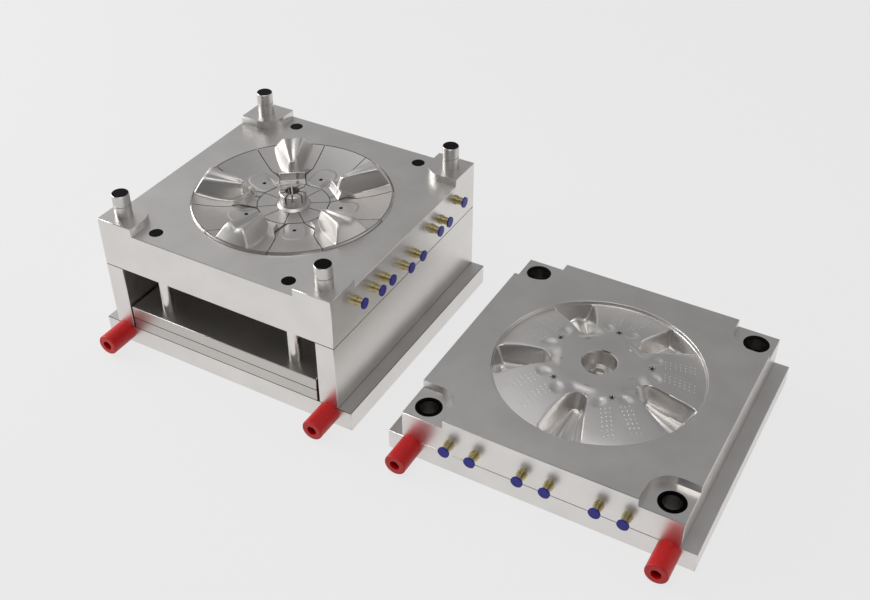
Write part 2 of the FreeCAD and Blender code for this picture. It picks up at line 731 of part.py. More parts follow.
def cavity_plate():
    body = new_body("cavity_block")
    thick = "cavity_plate_thickness"
    pad(body, rectangle(sketch_on(body, "plate", level=f"-{thick}"), "plate_side", "plate_side"), thick)
    pocket(body, corner_patches(sketch_on(body, "recesses"), "recess_clearance"),
           "boss_height + recess_clearance")
    crown = "(dish_depth - wall)"
    edge = "(bowl_diameter / 2 - bowl_rim_inset)"
    pad(body, circles(sketch_on(body, "dome"), [("0", "0")], f"2 * {edge}"), crown)
    trim = sketch_on(body, "bowl", "XZ_Plane")
    arc = bowl_arc(edge, f"({crown} + bowl_rim_drop)")
    high, low = "(2 * dish_depth)", f"(-{thick} - cavity_bore_depth)"
    outline(trim, [(RING, crown), (edge, "-bowl_rim_drop"), ("bowl_diameter / 2", "0"),
                   ("bowl_diameter / 2", high), (RING, high)],
            {0: (RING, f"{crown} - {arc}", -1, arc)})
    turn_shape(body, "Groove", trim)
    mouth = sketch_on(body, "mouth", "XZ_Plane")
    through = "(sprue_bush_diameter / 2 + seat_clearance)"
    outline(mouth, [("0", high), ("cavity_bore_mouth / 2", high), ("cavity_bore_mouth / 2", crown),
                    ("cavity_bore_floor / 2", "-cavity_bore_depth"), (through, "-cavity_bore_depth"),
                    (through, low), ("0", low)])
    turn_shape(body, "Groove", mouth)
    bores(body, "nut_marks", petal_spots("nut_mark_radius"), "nut_mark_diameter",
          f"nut_mark_depth + {high} - {crown}", level=high)
    bores(body, "bush_bores", four(PILLAR_X, PILLAR_X), "bush_diameter + 2 * seat_clearance", thick)
    bores(body, "screw_threads", four(CAVITY_SCREW_X, SCREW_Y), "screw_diameter + 2 * screw_clearance",
          "screw_bite + thread_run_out", level=f"-{thick} + screw_bite + thread_run_out")
    bores(body, "cooling_threads", cavity_fitting_spots(f"cavity_fitting_height - {thick}"),
          "fitting_diameter + 2 * seat_clearance", "fitting_thread_depth + thread_run_out",
          "XZ_Plane", FACE_X)
    place(body, x="half_spacing", z=CAVITY_FACE)
    formers = doc.addObject("Part::Compound", "spoke_formers")
    formers.Links = [spoke_former(i) for i in range(SPOKES)]
    plate = doc.addObject("Part::Cut", "cavity_plate")
    plate.Label = "cavity_plate"
    plate.Base = body
    plate.Tool = formers
    return keep(plate)


def cavity_clamp_plate():
    body = new_body("cavity_clamp_plate")
    thick = "cavity_clamp_thickness"
    pad(body, rectangle(sketch_on(body, "plate"), "plate_side + 2 * clamp_overhang", "plate_side"), thick)
    bores(body, "sprue_bore", [("0", "0")], "sprue_bush_diameter + 2 * seat_clearance", thick, level=thick)
    flange = "locating_ring_thickness + sprue_flange_height"
    bores(body, "flange_seat", [("0", "0")], "sprue_flange_diameter + 2 * seat_clearance", flange,
          level=flange)
    bores(body, "ring_seat", [("0", "0")], "locating_ring_diameter + 2 * seat_clearance",
          "locating_ring_thickness", level="locating_ring_thickness")
    spots = four(CAVITY_SCREW_X, SCREW_Y)
    bores(body, "screw_holes", spots, "screw_diameter + 2 * screw_clearance", thick, level=thick)
    head = "screw_head_height + head_sink"
    bores(body, "screw_heads", spots, "screw_head_diameter + 2 * screw_clearance", head, level=head)
    feet = [(f"-{FOOT_X}", "foot_height"), (FOOT_X, "foot_height")]
    bores(body, "foot_threads", feet, "foot_screw_diameter + 2 * screw_clearance",
          "foot_screw_bite + thread_run_out", "XZ_Plane", "plate_side / 2")
    place(body, x="half_spacing")
    return keep(body)


def guide_bushes():
    for i, (x, y) in enumerate(four(PILLAR_X, PILLAR_X), 1):
        body = new_body(f"guide_bush_{i}")
        ring = circles(sketch_on(body, "ring"), [("0", "0")], "bush_diameter")
        circles(ring, [("0", "0")], "pillar_diameter + 2 * bush_clearance")
        pad(body, ring, "cavity_plate_thickness - boss_height - recess_clearance")
        place(body, x=f"half_spacing + {x}", y=y, z="cavity_clamp_thickness")
        keep(body)


def sprue_bush():
    body = new_body("sprue_bush")
    face = f"({CAVITY_FACE} - sprue_bush_drop)"
    low, shoulder = "locating_ring_thickness", "(locating_ring_thickness + sprue_flange_height)"
    flange, shank = "sprue_flange_diameter / 2", "sprue_bush_diameter / 2"
    narrow, wide = "(sprue_bore - sprue_taper) / 2", "sprue_bore / 2"
    outline(sketch_on(body, "profile", "XZ_Plane"), [
        (narrow, f"({low} + nozzle_seat_depth)"), ("nozzle_seat_diameter / 2", low), (flange, low),
        (flange, shoulder),
        (shank, shoulder), (shank, face), (wide, face)])
    turn_shape(body, "Revolution", body.Group[-1])
    place(body, x="half_spacing")
    return keep(body)


def locating_ring():
    body = new_body("locating_ring")
    ring = circles(sketch_on(body, "ring"), [("0", "0")], "locating_ring_diameter")
    circles(ring, [("0", "0")], "locating_ring_bore")
    pad(body, ring, "locating_ring_thickness")
    place(body, x="half_spacing")
    return keep(body)


# Cooling fittings, feet and screws

def core_fitting_spots():
    heights = {1: "low", 2: "mid", 3: "mid", 4: "high"}
    return [(f"{i} * core_fitting_{n}", f"(core_fitting_{h} - core_plate_thickness)")
            for n, h in heights.items() for i in (-1, 1)]


def cavity_fitting_spots(height):
    return [(f"{i} * cavity_fitting_{n}", f"({height})") for n in (1, 2, 3) for i in (-1, 1)]


def cooling_fittings(half, spots, role, x, z):
    body = new_body(f"{half}_cooling_fittings")
    rods(body, "threads", spots, "fitting_diameter", "fitting_thread_depth", role,
         f"{FACE_X} - fitting_thread_depth")
    rods(body, "stems", spots, "fitting_diameter", "fitting_length", role, FACE_X)
    rods(body, "collars", spots, "fitting_collar_diameter", "fitting_collar_length", role, FACE_X)
    place(body, x=x, z=z)
    keep(body)
    caps = new_body(f"{half}_fitting_caps")
    rods(caps, "caps", spots, "cap_diameter", "cap_thickness", role, f"{FACE_X} + fitting_length")
    place(caps, x=x, z=z)
    keep(caps)


def mould_feet():
    places = [(half, sign, shift) for half, shift in (("core", "0"), ("cavity", "half_spacing"))
              for sign in (-1, 1)]
    for i, (half, sign, shift) in enumerate(places, 1):
        body = new_body(f"mould_foot_{i}")
        screw = "foot_screw_diameter / 2 + screw_clearance"
        hole, outer = "foot_hole_diameter / 2", "foot_diameter / 2"
        seat = "(foot_length - foot_hole_depth)"
        edge = "foot_round"
        outline(sketch_on(body, "profile", "XZ_Plane"), [
            (screw, "0"), (outer, "0"), (outer, f"(foot_length - {edge})"),
            (f"({outer} - {edge})", "foot_length"), (hole, "foot_length"), (hole, seat), (screw, seat)],
            {2: (f"({outer} - {edge})", f"(foot_length - {edge})", 1, edge)})
        turn_shape(body, "Revolution", body.Group[-1])
        place(body, x=f"{shift} + {sign} * {FOOT_X}", y="-plate_side / 2", z="foot_height")
        over = FreeCAD.Rotation(FreeCAD.Vector(1, 0, 0), 90)
        body.Placement = FreeCAD.Placement(body.Placement.Base, over)
        keep(body)
    screws = new_body("foot_screws")
    spots = [(f"{shift} + {sign} * {FOOT_X}", "foot_height") for _, sign, shift in places]
    seat = "plate_side / 2 + foot_length - foot_hole_depth"
    rods(screws, "shanks", spots, "foot_screw_diameter", "foot_length - foot_hole_depth + foot_screw_bite",
         "XZ_Plane", "plate_side / 2 - foot_screw_bite")
    rods(screws, "heads", spots, "foot_screw_head_diameter", "foot_screw_diameter", "XZ_Plane", seat)
    place(screws)
    keep(screws)


def cap_screws(name, spots, size, seat, tip, x="0", z="0"):
    """Cap screws with their heads below the seat and their shanks up to the tip."""
    body = new_body(name)
    head = f"{size}_head_height"
    rods(body, "heads", spots, f"{size}_head_diameter", head, level=f"{seat} - {head}")
    rods(body, "shanks", spots, f"{size}_diameter", f"{tip} - ({seat})", level=seat)
    place(body, x=x, z=z)
    return keep(body)


moving_clamp_plate()
spacer_block("left", -1)
spacer_block("right", 1)
ejector_plates()
core_plate()
core_inserts()
core_hub()
guide_pillars()
return_pins()
ejector_pins()
cavity_plate()
cavity_clamp_plate()
guide_bushes()
sprue_bush()
locating_ring()
cooling_fittings("core", core_fitting_spots(), "YZ_Plane", "0", PARTING)
cooling_fittings("cavity", cavity_fitting_spots("cavity_fitting_height"), "XZ_Plane", "half_spacing",
                 "cavity_clamp_thickness")
mould_feet()
cap_screws("moving_half_screws", four(SPACER_X, SCREW_Y), "screw", "screw_head_height + head_sink",
           f"{CORE_LEVEL} + screw_bite")
cap_screws("fixed_half_screws", four(CAVITY_SCREW_X, SCREW_Y), "screw", "screw_head_height + head_sink",
           "cavity_clamp_thickness + screw_bite", x="half_spacing")
cap_screws("ejector_plate_screws", four("ejector_screw_x", "ejector_screw_y"), "ejector_screw",
           "ejector_screw_head_height + head_sink", "ejector_plate_thickness + ejector_screw_bite",
           z="clamp_plate_thickness")
doc.recompute()

faults = [thing.Name for thing in doc.Objects if {"Invalid", "Error"} & set(thing.State)]
faults += [part.Label for part in parts if part.Shape.isNull() or not part.Shape.isValid()]
if faults:
    raise SystemExit(f"not built: {faults}")
os.makedirs("parts", exist_ok=True)
for part in parts:
    part.Shape.exportStep(f"parts/{part.Label}.step")
    print(part.Label, len(part.Shape.Solids), round(part.Shape.Volume))
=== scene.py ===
import math

import bmesh
import bpy
import numpy as np
from mathutils import Matrix, Vector


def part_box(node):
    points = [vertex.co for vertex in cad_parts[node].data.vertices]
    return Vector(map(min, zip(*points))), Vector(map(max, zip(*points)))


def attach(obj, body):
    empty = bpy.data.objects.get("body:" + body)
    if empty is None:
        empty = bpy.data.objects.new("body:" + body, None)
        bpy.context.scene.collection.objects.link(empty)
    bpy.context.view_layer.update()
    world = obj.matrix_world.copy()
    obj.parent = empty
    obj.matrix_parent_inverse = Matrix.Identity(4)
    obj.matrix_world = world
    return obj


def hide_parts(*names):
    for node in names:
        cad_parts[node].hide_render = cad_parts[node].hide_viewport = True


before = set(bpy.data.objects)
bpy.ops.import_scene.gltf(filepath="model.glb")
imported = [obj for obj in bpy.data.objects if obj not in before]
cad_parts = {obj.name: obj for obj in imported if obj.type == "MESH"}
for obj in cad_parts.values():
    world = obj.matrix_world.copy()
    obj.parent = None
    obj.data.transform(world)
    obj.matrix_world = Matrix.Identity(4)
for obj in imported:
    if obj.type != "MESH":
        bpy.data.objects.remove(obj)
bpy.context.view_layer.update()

# Camera: the photograph's own viewpoint, a standing person's view of both halves on the floor.
# Its frame is 870 by 600 pixels, and the lens is worked out in those pixels.
frame_width_px, frame_height_px = 870, 600
focal_px = 1156.69
lens_centre_px = (440.20, 293.62)
view_azimuth, view_elevation, view_roll = 29.126, 37.838, 0.18
eye = (1.2363, -1.5966, 1.5871)
bpy.ops.object.camera_add(location=eye)
camera = bpy.context.object
camera.name = "photo_camera"
stance = Matrix.Rotation(math.radians(view_azimuth), 4, "Z")
tilt = Matrix.Rotation(math.radians(90 - view_elevation), 4, "X")
lean = Matrix.Rotation(math.radians(view_roll), 4, "Z")
camera.rotation_euler = (stance @ tilt @ lean).to_euler()
camera.data.sensor_width = 36
camera.data.lens = focal_px / frame_width_px * camera.data.sensor_width
camera.data.shift_x = (frame_width_px / 2 - lens_centre_px[0]) / frame_width_px
camera.data.shift_y = (lens_centre_px[1] - frame_height_px / 2) / frame_width_px
camera.data.clip_end = 100
bpy.context.scene.camera = camera
bpy.context.scene.view_settings.view_transform = "Standard"


# Studio: pale walls all round that grow darker overhead, a strong soft box on the left and a weaker
# one above. The ground steel of the tops shows the dark ceiling, and that of the sides the floor.
def colour(code):
    """Turn an sRGB hex value into the linear colour that the shaders take."""
    parts = [int(code[i:i + 2], 16) / 255 for i in (1, 3, 5)]
    return [p / 12.92 if p <= 0.04045 else ((p + 0.055) / 1.055) ** 2.4 for p in parts] + [1]


def add(tree, kind, inputs=None, **settings):
    """Add one node with its settings; an input is a value or another node's output socket."""
    made = tree.nodes.new("ShaderNode" + kind)
    for name, setting in settings.items():
        setattr(made, name, setting)
    for key, given in (inputs or {}).items():
        if isinstance(given, bpy.types.NodeSocket):
            tree.links.new(given, made.inputs[key])
        else:
            made.inputs[key].default_value = given
    return made


backdrop, wall_light = colour("#EDEDED"), 0.9
world = bpy.data.worlds.new("pale_studio")
bpy.context.scene.world = world
world.use_nodes = True
air = world.node_tree
air.nodes.clear()
gaze = add(air, "TexCoord").outputs["Generated"]
height = add(air, "SeparateXYZ", {0: gaze})
walls = add(air, "ValToRGB", {0: height.outputs["Z"]})
shades = walls.color_ramp.elements
shades[0].position, shades[0].color = 0.0, colour("#C4C4C3")
shades[1].position, shades[1].color = 0.95, colour("#A8A8AA")
for stop, shade in ((0.3, "#A8A8A8"), (0.6, "#929293"), (0.75, "#9A9A9C")):
    shades.new(stop).color = colour(shade)

# Parts of the walls that are lit more or less than the rest: the way to each from the mould, how
# close to that way its light starts to change and is fully changed, and its brightness there.
sky = walls.outputs[0]
for way, start, full, brightness, blend in (
        ((-0.75, 0.15, 0.65), 0.72, 1.0, 2.3, "SMOOTHSTEP"),
        ((0.1, -0.95, 0.3), 0.25, 0.9, 0.3, "LINEAR"),
        ((0.89, 0.24, 0.39), 0.9, 1.0, 2.6, "SMOOTHSTEP")):
    closeness = add(air, "VectorMath", {0: gaze, 1: way}, operation="DOT_PRODUCT")
    light = add(air, "MapRange", {0: closeness.outputs["Value"], 1: start, 2: full, 3: 1.0, 4: brightness},
                interpolation_type=blend)
    sky = add(air, "VectorMath", {0: sky, "Scale": light.outputs[0]}, operation="SCALE").outputs[0]
seen = add(air, "LightPath")
lit = add(air, "Background", {"Color": sky, "Strength": wall_light})
plain = add(air, "Background", {"Color": backdrop, "Strength": 1})
air_mix = add(air, "MixShader", {0: seen.outputs["Is Camera Ray"], 1: lit.outputs[0], 2: plain.outputs[0]})
add(air, "OutputWorld", {0: air_mix.outputs[0]})

soft_boxes = (
    ("left_soft_box", (-3.2, -0.6, 1.5), (0.3, 0.1, 0.2), 2.6, 1.8, 70),
    ("top_soft_box", (0.6, -1.2, 3.6), (0.3, 0.0, 0.1), 2.0, 2.0, 26),
)
for name, spot, aim, width, depth, power in soft_boxes:
    bpy.ops.object.light_add(type="AREA", location=spot)
    lamp = bpy.context.object
    lamp.name = name
    lamp.data.shape = "RECTANGLE"
    lamp.data.size = width
    lamp.data.size_y = depth
    lamp.data.energy = power
    lamp.rotation_euler = (Vector(aim) - Vector(spot)).to_track_quat("-Z", "Y").to_euler()

# Floor: matt paper as pale as the backdrop, both to the eye and in the steel's reflections.
# A share of it stays plain paper, so it keeps the mould's soft shadow.
floor_glow, glow_share = 1.035, 0.85
bpy.ops.mesh.primitive_circle_add(vertices=96, radius=40, fill_type="NGON", location=(0.35, 0, 0))
floor = bpy.context.object
floor.name = "studio_floor"
paper = bpy.data.materials.new("matt_floor_paper")
paper.use_nodes = True
tree = paper.node_tree
tree.nodes.clear()
ray = add(tree, "LightPath")
shaded = add(tree, "BsdfDiffuse", {"Color": colour("#DCDCDC")})
glow = add(tree, "Emission", {"Color": backdrop, "Strength": floor_glow})
looked_at = ray.outputs["Is Camera Ray"]
for kind in ("Is Glossy Ray", "Is Transmission Ray"):
    looked_at = add(tree, "Math", {0: looked_at, 1: ray.outputs[kind]}, operation="MAXIMUM").outputs[0]
share = add(tree, "Math", {0: looked_at, 1: glow_share}, operation="MULTIPLY")
floor_mix = add(tree, "MixShader", {0: share.outputs[0], 1: shaded.outputs[0], 2: glow.outputs[0]})
add(tree, "OutputMaterial", {0: floor_mix.outputs[0]})
floor.data.materials.append(paper)

# Mould plates: squared blocks of pre-hardened tool steel, surface-ground on every face and bolted
# together. Grinding leaves fine straight lines, drawn 1.6 mm apart to show, which blur reflections.
dark_cloud, light_cloud = 0.3, 0.7


def start_finish(name):
    finish = bpy.data.materials.new(name)
    finish.use_nodes = True
    tree = finish.node_tree
    tree.nodes.clear()
    return finish, tree, add(tree, "TexCoord").outputs["Object"]


def steel(name, shade, roughness, line_mm=(0, 0), relief=0.0, cloud=0.04, black_above=None):
    """Steel with faint clouds some 70 mm across, cutting lines of a length and width, and black
    above a level."""
    clouds_per_metre, rough_cloud, line_depth, black_share = 14, 0.06, 0.0004, 0.006
    finish, tree, place = start_finish(name)
    clouds = add(tree, "TexNoise", {"Vector": place, "Scale": clouds_per_metre, "Detail": 4,
                                    "Roughness": 0.55})
    cloud_range = {0: clouds.outputs["Fac"], 1: dark_cloud, 2: light_cloud}
    tone = add(tree, "MapRange", {**cloud_range, 3: 1 - cloud, 4: 1 + cloud})
    base = add(tree, "VectorMath", {0: colour(shade)[:3], "Scale": tone.outputs[0]}, operation="SCALE")
    rough = add(tree, "MapRange", {**cloud_range, 3: roughness * (1 - rough_cloud),
                                   4: roughness * (1 + rough_cloud)})
    if black_above:
        level = add(tree, "SeparateXYZ", {0: place})
        end = add(tree, "Math", {0: level.outputs["Z"], 1: black_above}, operation="GREATER_THAN")
        black = add(tree, "MapRange", {0: end.outputs[0], 3: 1.0, 4: black_share})
        base = add(tree, "VectorMath", {0: base.outputs[0], "Scale": black.outputs[0]}, operation="SCALE")
    metal = add(tree, "BsdfPrincipled", {"Base Color": base.outputs[0], "Metallic": 1,
                                         "Roughness": rough.outputs[0]})
    if line_mm[0]:
        length, width = (1000 / size for size in line_mm)
        spread = add(tree, "Mapping", {"Vector": place, "Scale": (length, width, width)})
        lines = add(tree, "TexNoise", {"Vector": spread.outputs[0], "Scale": 1, "Detail": 2})
        bump = add(tree, "Bump", {"Height": lines.outputs["Fac"], "Strength": relief, "Distance": line_depth})
        tree.links.new(bump.outputs[0], metal.inputs["Normal"])
    add(tree, "OutputMaterial", {0: metal.outputs[0]})
    return finish


def dress(finish, *names):
    for name in names:
        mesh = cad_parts[name].data
        mesh.materials.clear()
        mesh.materials.append(finish)


def copy_of_plate(node, name, unwanted=lambda face: False):
    """A copy of a plate's solid without the unwanted faces, its loose triangles merged into flats."""
    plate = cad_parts[node].copy()
    plate.data = plate.data.copy()
    plate.name = name
    plate.parent = None
    bpy.context.collection.objects.link(plate)
    form = bmesh.new()
    form.from_mesh(plate.data)
    bmesh.ops.delete(form, geom=[face for face in form.faces if unwanted(face)], context="FACES")
    bmesh.ops.remove_doubles(form, verts=form.verts, dist=1e-6)
    bmesh.ops.dissolve_limit(form, angle_limit=0.005, verts=form.verts, edges=form.edges)
    return plate, form


def break_edges(form, joints, width=0.0009, least_length=0.012, least_angle=0.9):
    """File every long edge to a small flat; the flats at the plates' joints are painted dark as painted shade
    of the joint gaps.
    """
    sharp = [edge for edge in form.edges if len(edge.link_faces) == 2
             and edge.calc_face_angle(0) > least_angle and edge.calc_length() > least_length]
    bmesh.ops.bevel(form, geom=sharp, offset=width, segments=1, profile=0.5, affect="EDGES")
    form.normal_update()
    for face in form.faces:
        level = face.calc_center_median().z
        slanted = 0.3 < abs(face.normal.z) < 0.95
        # Painted shade: slanted flats at a joint level take the dark second material.
        if slanted and any(abs(level - joint) < width for joint in joints):
            face.material_index = 1


def close_and_shade(piece, angle=38):
    """Turn every face outwards, then shade it smooth up to the given angle between two faces."""
    bpy.ops.object.select_all(action="DESELECT")
    piece.select_set(True)
    bpy.context.view_layer.objects.active = piece
    bpy.ops.object.mode_set(mode="EDIT")
    bpy.ops.mesh.select_all(action="SELECT")
    bpy.ops.mesh.normals_make_consistent(inside=False)
    bpy.ops.object.mode_set(mode="OBJECT")
    bpy.ops.mesh.customdata_custom_splitnormals_clear()
    bpy.ops.object.shade_smooth_by_angle(angle=math.radians(angle))


def set_down(plate, finish, body, node):
    """Give a plate its steel and the painted shade of its joints, then its body, and hide the CAD part it
    replaces.
    """
    plate.data.materials[0] = finish
    plate.data.materials.append(painted_joint_shade)
    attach(plate, body)
    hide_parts(node)


def file_plate(node, name, joints, finish, body):
    plate, form = copy_of_plate(node, name)
    break_edges(form, joints)
    form.to_mesh(plate.data)
    form.free()
    close_and_shade(plate)
    set_down(plate, finish, body, node)


ground_steel = steel("ground_tool_steel", "#E2DFDC", 0.34, (24, 1.6), 0.05)
# Painted shade: a dark steel for the filed flats at the plates' joints, standing in for the shade in the
# joint gaps.
painted_joint_shade = steel("steel_with_painted_joint_shade", "#2C2B2A", 0.6)
base_joints = [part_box(node)[1][2] for node in ("moving_clamp_plate", "spacer_block_left")]
for node in ("moving_clamp_plate", "spacer_block_left", "spacer_block_right", "core_plate",
             "cavity_clamp_plate"):
    name = node.replace("plate", "block") + "_filed"
    file_plate(node, name, base_joints, ground_steel, "mould_base")

# Ejector plates: two steel plates between the spacer blocks, milled and left as cut, so a little
# duller. They carry the return pins, keys and ejector pins, and slide up to push the cover off.
milled_steel = steel("milled_plate_steel", "#C9C6C2", 0.38, (30, 2.5), 0.08)
ejector_joints = [corner[2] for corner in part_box("ejector_plate")]
for node in ("ejector_plate", "ejector_retainer_plate"):
    file_plate(node, node + "_filed", ejector_joints, milled_steel, "ejector_set")

# Spoke inserts: five blocks of hardened steel let into the core plate, spark-eroded and then stoned
# by hand to a satin face. Every face of the core is free-form, so it is laid out as rows round the
# mould's axis. Lengths are in millimetres, with heights above the parting face.
parting_z, pocket_depth, joint_foot = 288.0, 53.0, -27.5
ring_edge, rim_edge, dish_floor, dish_rise = 75.0, 203.8, -17.5, 22.0
joint_gap, seat_gap, settle_rounds = 1.05, 0.1, 20
rim_joint, rim_joint_rows = (203.02, 205.18), (203.0, 203.05, 205.15, 205.2)
spoke_stations = (90, 128, 155, 183, 216)
spoke_side = ((0, 106, 124, 250), (27.5, 27.5, 43.5, 99.7))
sector, first_spoke = 72, 126


def along_spoke(*values):
    """A smooth line through its values at the spoke's five stations, held level outside 86 to 214."""
    line = np.poly1d(np.polyfit(spoke_stations, values, 3))
    return lambda along: line(np.clip(along, 86, 214))


left_ridge, right_ridge = along_spoke(-10, -15, -19.5, -28, -38), along_spoke(2.5, 8, 12.5, 16.5, 21)
left_foot, right_foot = along_spoke(-13.5, -26, -34, -49, -68), along_spoke(11, 24, 34, 41, 48)
left_top, right_top = along_spoke(21, 27, 30.5, 36, 42.5), along_spoke(17.5, 24, 28, 33.5, 39.5)


def lower(a, b, soften):
    """The lower of two surfaces, with the edge between them rounded."""
    blend = np.clip(0.5 + (b - a) / (2 * soften), 0, 1)
    return b + (a - b) * blend - soften * blend * (1 - blend)


def higher(a, b, soften):
    """The higher of two surfaces, with the corner between them filled."""
    return -lower(-a, -b, soften)


def ease(start, end, x):
    """A soft step from 0 at the start to 1 at the end."""
    s = np.clip((x - start) / (end - start), 0, 1)
    return s * s * (3 - 2 * s)


def arc_up(radius, floor, rise, edge):
    """Height of a dish: flat at the ring, then an arc that rises to its edge."""
    bend = ((edge - ring_edge) ** 2 + rise ** 2) / (2 * rise)
    out = np.clip(radius, ring_edge, edge) - ring_edge
    return floor + bend - np.sqrt(bend ** 2 - out ** 2)


def dish(radius):
    """The core's dish, from its floor at the ring up to the rim."""
    return arc_up(radius, dish_floor, dish_rise, rim_edge)


def flank(along, across, grow, side):
    """One side of a spoke, slightly bulging, from its ridge to its foot; side is -1 left, 1 right."""
    foot_depth, bulge = 24, 2.5
    ridge, foot, top = ((left_ridge, left_foot, left_top), (right_ridge, right_foot, right_top))[side > 0]
    high = top(along) + grow
    run = np.abs(foot(along) - ridge(along))
    steep = (high + foot_depth) / run
    past = (across * side - (ridge(along) * side + grow)) / run
    return high - past * run * steep + bulge * np.sin(np.pi * np.clip(past, 0, 1)), high, steep


def spoke_relief(along, across, base, grow=0.0, end_foot=(203.8, 4.5), soften=10.0, nose=(96, -2)):
    """A raised spoke over its base: two rounded lobes with a narrow valley, a turned nose and end."""
    valley_depth, valley_middle, valley_width, valley_start = 4.4, 0.57, 0.17, (100, 118)
    nose_middle, nose_bend, nose_slope = -2.5, 22, 3.0
    end_height, end_top_radius = 26, 190
    lobe_round, end_round, crease_round = 9, 12, 1.5
    fillet_start, fillet_end = (92, 112), (192, 203)
    radius = np.hypot(along, across)
    left, left_high = flank(along, across, grow, -1)[:2]
    right, right_high = flank(along, across, grow, 1)[:2]
    from_ridge, to_ridge = left_ridge(along) - grow, right_ridge(along) + grow
    share = np.clip((across - from_ridge) / (to_ridge - from_ridge), 0, 1)
    valley = valley_depth * np.exp(-((share - valley_middle) / valley_width) ** 2)
    top = left_high + (right_high - left_high) * share - valley * ease(*valley_start, along)
    face = lower(lower(top, left, lobe_round), right, lobe_round)
    behind_nose = along + grow - nose[0] - (across - nose_middle) ** 2 / nose_bend
    fall = (end_height + grow - end_foot[1]) / (end_foot[0] - end_top_radius - grow)
    end = end_foot[1] + (end_foot[0] - radius) * fall
    face = lower(lower(face, nose[1] + behind_nose * nose_slope, lobe_round), end, end_round)
    widened = (1 - ease(*fillet_end, radius)) * ease(*fillet_start, radius)
    return higher(base, face, crease_round + (soften - crease_round) * widened)


def rim_detail(face, radius):
    """The open joint along the rim, then the small sloping skirt outside it."""
    joint_depth, skirt_height, skirt_edge, skirt_fall = 5.0, 4.5, 205.2, 1.6
    skirt = skirt_height - np.clip(radius - skirt_edge, 0, None) * skirt_fall
    outside = np.where(radius > rim_joint[0], np.minimum(face, skirt), face)
    in_joint = (radius > rim_joint[0]) & (radius < rim_joint[1])
    return np.where(in_joint, outside - joint_depth, outside)


def spoke_face(along, across):
    """The dish, a neck that steps up from radius 88 to 95, and the raised spoke on both."""
    step_foot, step_slope, step_round = 88, 2.2, 1.5
    neck_height, neck_start, neck_fall, neck_fillet = -2.0, 95, 0.45, 2.5
    radius = np.hypot(along, across)
    step = dish_floor + (along - step_foot) * step_slope
    neck = lower(step, neck_height - (along - neck_start) * neck_fall, step_round)
    return rim_detail(spoke_relief(along, across, higher(dish(radius), neck, neck_fillet)), radius)


def spoke_half_width(along, gap):
    return np.interp(along, *spoke_side) - gap


def spoke_lines(along, edge):
    """Lines that the columns follow across an insert: edge, fillet, ridges, fillet, edge."""
    fillet_outside, fillet_inside, ridge_round = 7, 5, 3
    outer_limit, inner_limit = 0.96 * edge, 0.8 * edge
    lines = []
    for side in (-1, 1):
        high, steep = flank(along, along * 0, 0, side)[1:]
        ridge = (left_ridge, right_ridge)[side > 0](along) * side
        base = ridge + (high - dish(along)) / steep
        outer = np.minimum(base + fillet_outside, outer_limit)
        inner = np.minimum(base - fillet_inside, inner_limit)
        lines.append([edge, outer, inner, ridge + ridge_round, ridge - ridge_round])
    left, right = lines
    return np.stack([-line for line in left] + right[::-1])


def rows_round_axis(radii, lines_at, counts):
    """Rows of constant radius with columns between the given lines, counted per gap."""
    gap = np.append(np.repeat(np.arange(len(counts)), counts), len(counts) - 1)
    share = np.append(np.concatenate([np.arange(n) / n for n in counts]), 1.0)
    column = np.arange(len(gap))
    radius = np.repeat(np.asarray(radii, float)[:, None], len(gap), axis=1)
    along = radius.copy()
    for settle in range(settle_rounds):
        lines = lines_at(along)
        low, high = lines[gap, :, column].T, lines[gap + 1, :, column].T
        across = low + (high - low) * share
        along = (along + np.sqrt(np.maximum(radius ** 2 - across ** 2, 1))) / 2
    return along, across


def grid_faces(rows, columns):
    """The four-cornered faces between a grid's points, row by row."""
    corner = np.arange((rows - 1) * columns).reshape(rows - 1, columns)[:, :-1]
    return np.stack([corner, corner + columns, corner + columns + 1, corner + 1], -1).reshape(-1, 4).tolist()


def edge_of_grid(grid):
    """The outer points of a grid, once round in order."""
    return np.concatenate([grid[0], grid[1:, -1], grid[-1, -2::-1], grid[-2:0:-1, 0]])


def insert_block(name, face_rows, seat_rows, turn, node):
    """Close a face into its block: down the joint, out to the close-fitting seat, down to the floor."""
    rows, columns = face_rows.shape[:2]
    rim, seat = edge_of_grid(face_rows)[:, :2], edge_of_grid(seat_rows)[:, :2]
    count = len(rim)
    foot, bottom = np.full(count, joint_foot), np.full(count, -pocket_depth)
    loops = [np.c_[rim, foot], np.c_[seat, foot], np.c_[seat, bottom]]
    points = np.concatenate([face_rows.reshape(-1, 3)] + loops)
    sin, cos = math.sin(math.radians(turn)), math.cos(math.radians(turn))
    x, y = points[:, 0].copy(), points[:, 1].copy()
    points[:, 0], points[:, 1] = x * cos - y * sin, x * sin + y * cos
    points[:, 2] += parting_z
    faces = grid_faces(rows, columns)
    upper = edge_of_grid(np.arange(rows * columns).reshape(rows, columns)).tolist()
    for level in range(len(loops)):
        first = rows * columns + level * count
        under = list(range(first, first + count))
        faces += [(upper[i], upper[i - 1], under[i - 1], under[i]) for i in range(count)]
        upper = under
    faces.append(upper)
    mesh = bpy.data.meshes.new(name)
    mesh.from_pydata((points / 1000).tolist(), [], faces)
    piece = bpy.data.objects.new(name, mesh)
    bpy.context.collection.objects.link(piece)
    close_and_shade(piece)
    mesh.materials.append(satin_steel)
    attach(piece, "mould_base")
    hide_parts(node)
    return piece


satin_steel = steel("stoned_insert_steel", "#D6D3D0", 0.4, cloud=0.03)

